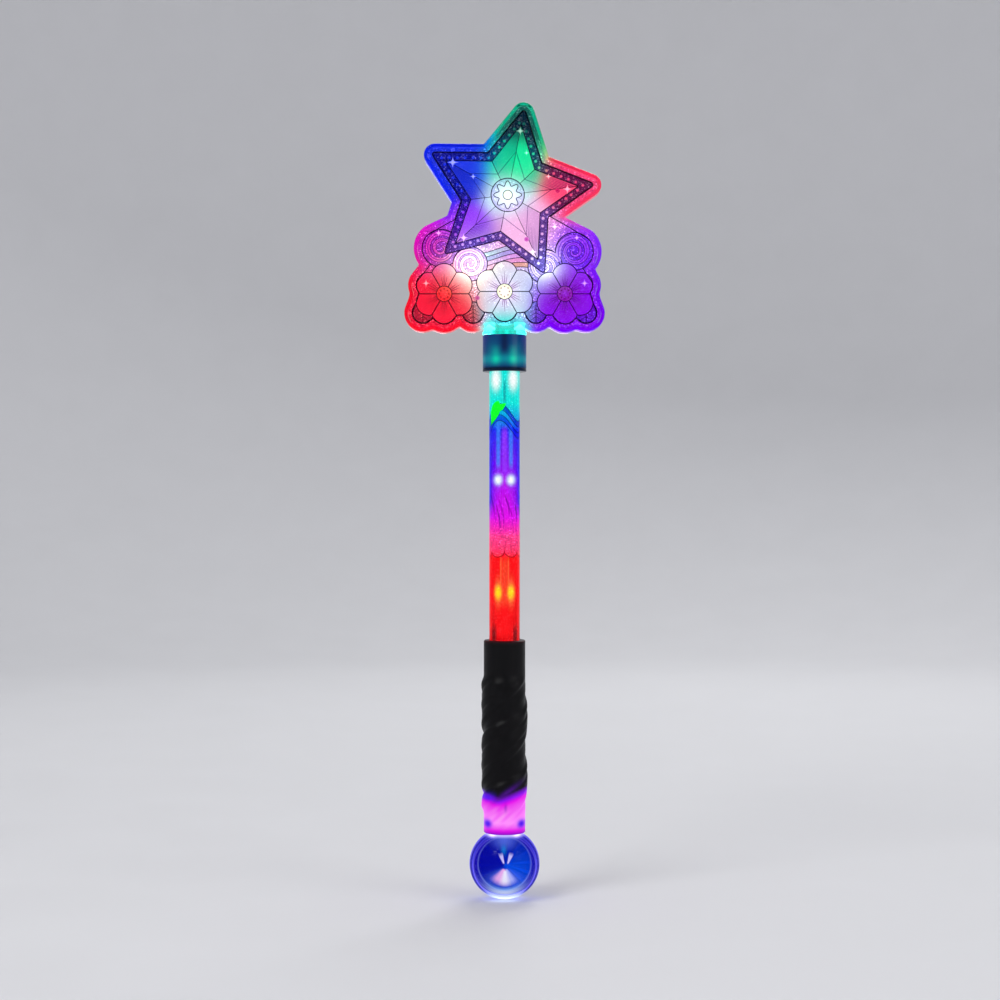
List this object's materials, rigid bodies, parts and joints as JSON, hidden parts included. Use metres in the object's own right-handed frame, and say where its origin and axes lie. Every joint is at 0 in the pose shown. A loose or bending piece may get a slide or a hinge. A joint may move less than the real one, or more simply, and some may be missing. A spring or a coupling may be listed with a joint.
{
  "type": "toy magic wand",
  "caption": "Light-up toy magic wand: clear star head over printed blossoms, lit clear tube, carved black grip with push button and battery door, and a clear ball on the end.",
  "frame": {"origin": "on the wand's axis at the middle of the grip, where a hand holds it", "axes": "+Z along the wand towards the star head, -Y out of the front face, +X to the right seen from the front"},
  "size_m": [0.1278, 0.045, 0.5084],
  "materials": {
    "clear_head": "clear moulded, polished",
    "head_print": "printed translucent film with glitter",
    "circuit_board": "solder-masked laminate",
    "white_lamp": "moulded lens, lit",
    "cyan_lamp": "moulded lens, lit",
    "violet_lamp": "moulded lens, lit",
    "amber_lamp": "moulded lens, lit",
    "blue_lamp": "moulded lens, lit",
    "plated_metal": "nickel plated",
    "navy_collar": "smoked translucent, glossy",
    "clear_tube": "clear extruded, polished",
    "tube_print": "printed translucent film with glitter",
    "white_plastic": "moulded",
    "black_plastic": "moulded",
    "black_grip": "carved satin moulding",
    "purple_button": "moulded satin",
    "cell_jacket": "plain printed jacket",
    "red_wire": "insulated wire",
    "clear_ball": "clear moulded, polished",
    "ball_lens": "clear, finely ringed",
    "purple_pin": "moulded"
  },
  "bodies": {
    "wand": {"head_front_shell": "clear_head", "head_back_shell": "clear_head", "front_print_film": "head_print", "back_print_film": "head_print", "head_board": "circuit_board", "head_leds": "white_lamp", "head_header_pins": "plated_metal", "neck_collar": "navy_collar", "clear_tube": "clear_tube", "tube_print_film": "tube_print", "tube_board": "circuit_board", "upper_tube_leds": "cyan_lamp", "middle_tube_leds": "violet_lamp", "lower_tube_leds": "amber_lamp", "upper_board_spacer": "white_plastic", "lower_board_spacer": "white_plastic", "control_header_pins": "plated_metal", "control_board": "circuit_board", "switch_body": "black_plastic", "grip_front_shell": "black_grip", "grip_back_shell": "black_grip", "grip_screws": "plated_metal", "battery_cradle": "black_plastic", "battery_front": "cell_jacket", "battery_left": "cell_jacket", "battery_right": "cell_jacket", "upper_contacts": "plated_metal", "lower_contacts": "plated_metal", "contact_springs": "plated_metal", "ball_lead_wires": "red_wire", "ball_led_board": "circuit_board", "ball_led": "blue_lamp", "ball_front_half": "clear_ball", "ball_back_half": "clear_ball", "ball_disc": "ball_lens", "ball_neck_pins": "purple_pin"},
    "button": {"push_button": "purple_button", "switch_plunger": "black_plastic"},
    "door": {"battery_door": "black_grip", "door_screw": "plated_metal"}
  },
  "joints": [
    {"name": "button_press", "type": "slide", "parent": "wand", "child": "button", "axis": [0, -1, 0], "range_m": [0, 0.001], "stiffness_N_per_m": 900},
    {"name": "battery_door_lift", "type": "slide", "parent": "wand", "child": "door", "axis": [0, 1, 0], "range_m": [0, 0.03]}
  ]
}
